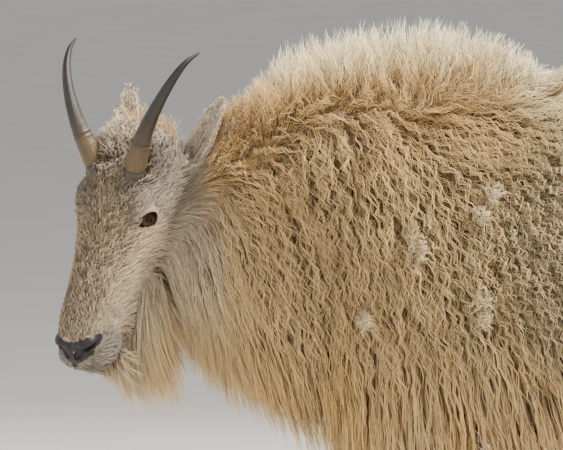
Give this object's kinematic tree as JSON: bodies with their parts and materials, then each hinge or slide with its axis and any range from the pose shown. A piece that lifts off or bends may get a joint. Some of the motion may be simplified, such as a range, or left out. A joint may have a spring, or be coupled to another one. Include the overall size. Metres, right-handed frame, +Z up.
{
  "type": "mountain goat",
  "caption": "Life-size mountain goat standing with its head turned to its left: black curved horns, a woolly white crest, long shaggy coat, beard and split hooves.",
  "frame": {"origin": "on the floor, under the middle of the whole goat's box", "axes": "+Z up; the goat faces -Y with its left side at +X; +Y runs back along the body to the tail"},
  "size_m": [0.409, 1.2683, 1.0074],
  "materials": {
    "coat": "long woolly hair",
    "face": "short fur",
    "horn": "satin horn",
    "hoof": "dull horn",
    "eye": "wet",
    "ear": "short fur"
  },
  "bodies": {
    "root": {"torso": "coat", "neck": "coat", "tail": "coat", "head": "face", "leg_fore_left": "coat", "hoof_fore_left_outer": "hoof", "dewclaw_fore_left_outer": "hoof", "hoof_fore_left_inner": "hoof", "dewclaw_fore_left_inner": "hoof", "leg_fore_right": "coat", "hoof_fore_right_outer": "hoof", "dewclaw_fore_right_outer": "hoof", "hoof_fore_right_inner": "hoof", "dewclaw_fore_right_inner": "hoof", "leg_hind_left": "coat", "hoof_hind_left_outer": "hoof", "dewclaw_hind_left_outer": "hoof", "hoof_hind_left_inner": "hoof", "dewclaw_hind_left_inner": "hoof", "leg_hind_right": "coat", "hoof_hind_right_outer": "hoof", "dewclaw_hind_right_outer": "hoof", "hoof_hind_right_inner": "hoof", "dewclaw_hind_right_inner": "hoof", "horn_left": "horn", "ear_left": "ear", "eye_left": "eye", "horn_right": "horn", "ear_right": "ear", "eye_right": "eye"}
  },
  "joints": []
}
